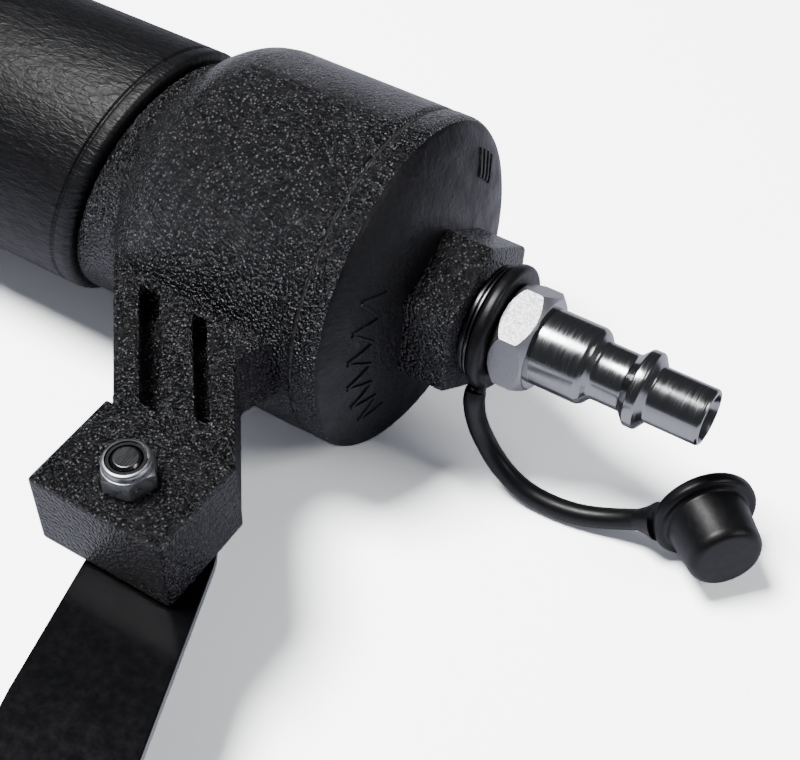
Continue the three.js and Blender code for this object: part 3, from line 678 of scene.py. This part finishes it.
def grip_sleeve():
    """The rubber sleeve, with a smooth band and a fine groove at its slanting rear edge."""
    bm = slant(turned([
        (SLEEVE_START, SLEEVE_BORE), (SLEEVE_START, 24.4, 0.8), (56, SLEEVE_RADIUS, 0.8),
        (58.2, SLEEVE_RADIUS, 0.3), (58.5, 25.0, 0.2), (58.9, 25.0, 0.2), (59.2, SLEEVE_RADIUS, 0.3),
        (SLEEVE_END - 1, SLEEVE_RADIUS, 0.6), (SLEEVE_END, 24.4, 0.6), (SLEEVE_END, SLEEVE_BORE),
    ], ROUND, closed=True))
    grain = bm.verts.layers.float_vector.new("grain")
    for vert in bm.verts:
        turn = math.atan2(vert.co.y, vert.co.z)
        vert[grain] = (vert.co.x * MM, turn * SLEEVE_RADIUS * MM, 0)
    piece = finish_piece("grip_sleeve_shown", place(bm, GRIP), "body", GRIP_RUBBER, 50)
    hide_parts("grip_sleeve")


# ------------------------------------------------------------------ air inlet

def inlet_bushing():
    """The threaded bushing in the boss, with two fine ridges outside it."""
    bm = turned([
        (-20, 4.9), (-20, 8), (-17.1, 8), (-17.1, 10.6, 0.15), (-16.6, 10.6, 0.15), (-16.6, 9.6),
        (-16.2, 9.6), (-16.2, 10.2, 0.15), (-15.4, 10.2, 0.1), (-15.4, 6.9), (-1.5, 6.9), (-1.5, 4.9),
    ], SMALL, closed=True)
    piece = finish_piece("inlet_bushing_shown", place(bm, GRIP), "body", DARK_STEEL, 30)
    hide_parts("inlet_bushing")


def air_plug():
    """The quick-connect plug: turned body, neck, ring and tip, and a grained hexagon."""
    body = turned([
        (-55.2, 3.2), (-57.1, 4.2), (-57.1, 4.7, 0.1), (-56.7, 5, 0.2), (-47.5, 5, 0.3), (-46.2, 6.85, 0.25),
        (-44.5, 6.85, 0.25), (-42.9, 5.1, 0.4), (-37.4, 5.1, 0.5), (-36.4, 6.4, 0.3),
        (-35.6, 6.9, 0.4), (-22, 6.9), (-22, 4.6), (-12, 4.6), (-12, 3.2),
    ], SMALL, closed=True)
    hexagon = hex_bar(17, -26.7, -20.2, HEX_TURN)
    cone = turned([(-26.7, 0), (-26.7, 8.1, 0.2), (-25, 9.9, 0.6), (-21.9, 9.9, 0.6), (-20.2, 8.4, 0.2),
                   (-20.2, 0)])
    hexagon = boolean(hexagon, cone, "INTERSECT")
    bore = turned([(-30, 0), (-30, 5), (-15, 5), (-15, 0)], SMALL)
    hexagon = boolean(hexagon, bore, "DIFFERENCE")
    solid = boolean(body, hexagon, "UNION")
    flats = [-26.6 < face.calc_center_median().x < -20.3 and face.calc_center_median().yz.length > 7.2
             for face in solid.faces]
    piece = finish_piece("air_plug_shown", place(solid, GRIP), "body", TURNED_STEEL, 30)
    piece.data.materials.append(GRAINED_STEEL)
    for polygon, flat in zip(piece.data.polygons, flats):
        polygon.material_index = int(flat)
    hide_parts("air_plug")


# ------------------------------------------------------------------ tethered dust cap

TETHER_ROUTE = [
    (-18.65, 8.8, -8.1),
    (-18.75, 9.4, -9.4),
    (-18.7, 9.1, -11.7),
    (-18.7, 8.4, -15),
    (-19.4, 7.8, -18.9),
    (-21.5, 7.9, -22.6),
    (-23.8, 8.2, -25.1),
    (-26.4, 8.4, -27.1),
    (-29.8, 8.5, -28.7),
    (-33.7, 8.4, -29.3),
    (-37.6, 8.1, -29.3),
    (-41.5, 7.4, -28.9),
    (-45.3, 6.5, -27.9),
    (-48.4, 5.9, -26.6),
    (-50.9, 5.7, -25.2),
]
FLANGE_JOINT = (-53.6, 5.6, -23.8)   # inside the dust cap's flange
STRAP_WIDTH = 3.8
DUST_CAP_CENTRE = (-60.1, 1.2, -22.1)
DUST_CAP_AXIS = Vector((-0.72, 0.69, 0.08)).normalized()


def spline_points(route, per_span):
    """Points along a smooth curve through a route's places, so many for each span."""
    places = [Vector(p) for p in route]
    padded = [places[0] * 2 - places[1]] + places + [places[-1] * 2 - places[-2]]
    points = []
    for a, b, c, d in zip(padded, padded[1:], padded[2:], padded[3:]):
        for k in range(per_span):
            t = k / per_span
            points.append(0.5 * (2 * b + (c - a) * t + (2 * a - 5 * b + 4 * c - d) * t * t
                                 + (3 * b - a - 3 * c + d) * t ** 3))
    points.append(places[-1])
    return points


def rubber_tube(name, points, widths):
    """A round rubber tube along some points, as wide at each as its width in metres."""
    curve = bpy.data.curves.new(name, "CURVE")
    curve.dimensions = "3D"
    curve.bevel_depth = STRAP_WIDTH / 2 * MM
    curve.bevel_resolution = 6
    curve.use_fill_caps = True
    spline = curve.splines.new("POLY")
    spline.points.add(len(points) - 1)
    for point, here, width in zip(spline.points, points, widths):
        point.co = (*here, 1)
        point.radius = width / (STRAP_WIDTH * MM)
    spline.use_smooth = True
    piece = bpy.data.objects.new(name, curve)
    bpy.context.scene.collection.objects.link(piece)
    curve.materials.append(RUBBER)
    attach(piece, "dust_tether")
    return piece


def strap():
    """The tether's strap from ring to cap. Gives the piece, where it leaves the ring and its length."""
    points = [at(*p) for p in spline_points(TETHER_ROUTE, 2)]
    piece = rubber_tube("dust_strap_shown", points, [STRAP_WIDTH * MM] * len(points))
    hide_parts("dust_strap")
    length = sum((b - a).length for a, b in zip(points, points[1:]))
    return piece, points[0], length


def strap_root():
    """The strap's first millimetre, which grows out of the ring."""
    points = [at(-18.65, 7.3, -6.7), at(-18.65, 7.9, -7.3), at(*TETHER_ROUTE[0])]
    rubber_tube("strap_root", points, [STRAP_WIDTH * MM * k for k in (0.65, 0.8, 0.98)])


def strap_flare():
    """The strap's last millimetres, which widen into the dust cap's flange."""
    start, end = at(*TETHER_ROUTE[-2]), at(*FLANGE_JOINT)
    middle = at(*TETHER_ROUTE[-1])
    steps = 10
    shares = [k / steps for k in range(steps + 1)]
    points = [start.lerp(middle, t).lerp(middle.lerp(end, t), t) for t in shares]
    widths = [STRAP_WIDTH * MM * (0.9 + 0.9 * t ** 2) for t in shares]
    return rubber_tube("strap_flare", points, widths)


def tether_ring():
    bm = turned([
        (-19.9, 8.3), (-19.9, 10.8, 0.7), (-19.3, 11.4, 0.7), (-18, 11.4, 0.7), (-17.4, 10.8, 0.7),
        (-17.4, 8.3),
    ], SMALL, closed=True)
    piece = finish_piece("tether_ring_shown", place(bm, GRIP), "dust_tether", RUBBER, 50)
    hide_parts("tether_ring")


def dust_cap():
    """The flanged cap. Its socket opens at the flange's end."""
    bm = turned([
        (8.3, 0), (8.3, 4.7, 0.4), (7.7, 5.1, 0.4), (-1.3, 5.1, 0.3), (-1.3, 8.8, 0.6), (-0.7, 9.3, 0.6),
        (0.7, 9.3, 0.6), (1.3, 8.8, 0.6), (1.3, 7.3, 0.6), (9.6, 6.6, 0.8), (10.7, 5.8, 0.8), (10.7, 0),
    ], SMALL)
    piece = finish_piece("dust_cap_shown", place(bm, at(*DUST_CAP_CENTRE), DUST_CAP_AXIS), "dust_tether",
                         RUBBER, 50)
    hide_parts("dust_cap")
    return piece


# ------------------------------------------------------------------ swing bar and fasteners

def lock_nut():
    """The nut on the block: a hexagon with its corners turned off, under a round collar."""
    bolt = at(BOLT_X, BOLT_Y, 0)
    base = BLOCK_TOP + 0.3
    hexagon = hex_bar(8, base, base + 3.6, math.radians(40))
    cone = turned([(base, 0), (base, 4.1, 0.1), (base + 0.5, 4.75, 0.2), (base + 2.8, 4.75, 0.3),
                   (base + 3.6, 4, 0.2), (base + 3.6, 0)])
    hexagon = boolean(hexagon, cone, "INTERSECT")
    collar = turned([(base + 2, 0), (base + 2, 3.9), (base + 4.9, 3.9, 0.7), (base + 5, 2.9, 0.3),
                     (base + 5, 0)])
    solid = boolean(hexagon, collar, "UNION")
    bore = turned([(base - 2, 0), (base - 2, 2.8), (base + 3.3, 2.8), (base + 3.3, 3.3), (base + 8, 3.3),
                   (base + 8, 0)])
    solid = boolean(solid, bore, "DIFFERENCE")
    piece = finish_piece("bar_nut_shown", place(solid, bolt, Z_AXIS), "body", ZINC, 30)
    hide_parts("bar_nut")


def springs():
    """Both springs, as merged copies of their CAD nodes, baked in place; neither rides on a body or moves with
    a piece.
    """
    throttle = refined("throttle_spring", None, TURNED_STEEL, 0)
    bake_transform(throttle)
    retaining = refined("retaining_spring", None, DARK_STEEL, 0)
    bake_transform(retaining)


def swing_bar():
    """The flat bar: black faces and bare cut edges. Its edges aren't softened, so its faces stay flat."""
    piece = refined("swing_bar", "swing_bar", BLACK_OXIDE, 0, 12)
    piece.data.materials.append(BARE_EDGE)
    for polygon in piece.data.polygons:
        polygon.material_index = int(abs(polygon.normal.z) < 0.3)
    return piece


# ------------------------------------------------------------------ build everything

end_cap()
cap_marks()
grip_casting()
head_casting()
grip_sleeve()
inlet_bushing()
air_plug()
tether_ring()
cap_piece = dust_cap()
strap_piece, strap_exit, strap_length = strap()
strap_root()
strap_flare()
lock_nut()
swing_bar()

CARRIED = [
    ("cap_seal", "body", "rubber_black", RUBBER, 0),
    ("inlet_screen", "body", "brass", BRASS, 0.1),
    ("bar_bolt", "body", "dark_steel", DARK_STEEL, 0.15),
    ("bar_washer", "body", "zinc_plate", ZINC, 0.1),
    ("bar_nut_insert", "body", "nylon", NYLON, 0),
    ("trigger", "trigger", "smooth_black", BLACK_OXIDE, 0.4),
    ("trigger_pin", "body", "bright_steel", TURNED_STEEL, 0.1),
    ("throttle_bushing", "body", "brass", BRASS, 0.2),
    ("throttle_stem", "throttle", "bright_steel", TURNED_STEEL, 0.1),
    ("throttle_plug", "body", "dark_steel", DARK_STEEL, 0.3),
    ("regulator_screw", "regulator", "brass", BRASS, 0.1),
    ("back_plug", "body", "dark_steel", DARK_STEEL, 0.4),
    ("valve_case", "body", "dark_steel", DARK_STEEL, 0.1),
    ("valve_plate", "valve", "bright_steel", TURNED_STEEL, 0.1),
    ("hammer_barrel", "body", "dark_steel", DARK_STEEL, 0.3),
    ("hammer_piston", "piston", "bright_steel", TURNED_STEEL, 0.1),
    ("exhaust_ring", "exhaust_ring", "smooth_black", BLACK_OXIDE, 0.3),
    ("exhaust_clip", "body", "bright_steel", TURNED_STEEL, 0.1),
    ("rivet_set", "rivet_set", "bright_steel", TURNED_STEEL, 0.3),
]
for node, body, slot, material, bevel in CARRIED:
    refined(node, body, material, bevel)
springs()

# ------------------------------------------------------------------ floor, light and camera

FLOOR_HEIGHT = cad_bounds[0][2]
FLOOR_HALF_SIZE = 0.6
LENS = 71.2
EYE = (-103.8, 167.7, 194.8)
LOOK_AT = (-10.9, 20.8, 1.4)
ROOM_LIGHT = (0.05, 0.052, 0.06)
ROOM_SEEN = (5.0, 5.0, 5.0)


def stage():
    bm = bmesh.new()
    bmesh.ops.create_grid(bm, x_segments=1, y_segments=1, size=FLOOR_HALF_SIZE)
    bmesh.ops.translate(bm, vec=(0, 0, FLOOR_HEIGHT), verts=bm.verts)
    floor = object_from(bm, "floor")
    floor.data.materials.append(FLOOR_WHITE)


def area_light(name, where, target, size, power):
    light = bpy.data.lights.new(name, "AREA")
    light.shape = "DISK"
    light.size = size
    light.energy = power
    lamp = bpy.data.objects.new(name, light)
    bpy.context.scene.collection.objects.link(lamp)
    lamp.location = where
    lamp.rotation_euler = (target - where).to_track_quat("-Z", "Y").to_euler()


def lighting():
    """A dim room, drawn white to the eye, with a soft key light above and a weak one beside."""
    world = bpy.data.worlds.new("studio")
    bpy.context.scene.world = world
    world.use_nodes = True
    tree = world.node_tree
    background = tree.nodes["Background"]
    background.inputs["Strength"].default_value = 1
    seen = tree.nodes.new("ShaderNodeLightPath").outputs["Is Camera Ray"]
    tree.links.new(mix_color(tree, seen, ROOM_LIGHT, ROOM_SEEN), background.inputs["Color"])
    middle = at(0, 20, 0)
    area_light("key", middle + Vector((0.3, 0.1, 0.85)), middle, 0.34, 10)
    area_light("side", middle + Vector((-0.75, -0.15, 0.5)), middle, 0.3, 1.2)


def camera():
    data = bpy.data.cameras.new("camera")
    data.lens = LENS
    data.clip_start = 0.01
    made = bpy.data.objects.new("camera", data)
    bpy.context.scene.collection.objects.link(made)
    eye = at(*EYE)
    made.location = eye
    made.rotation_euler = (at(*LOOK_AT) - eye).to_track_quat("-Z", "Y").to_euler()
    bpy.context.scene.camera = made


stage()
lighting()
camera()
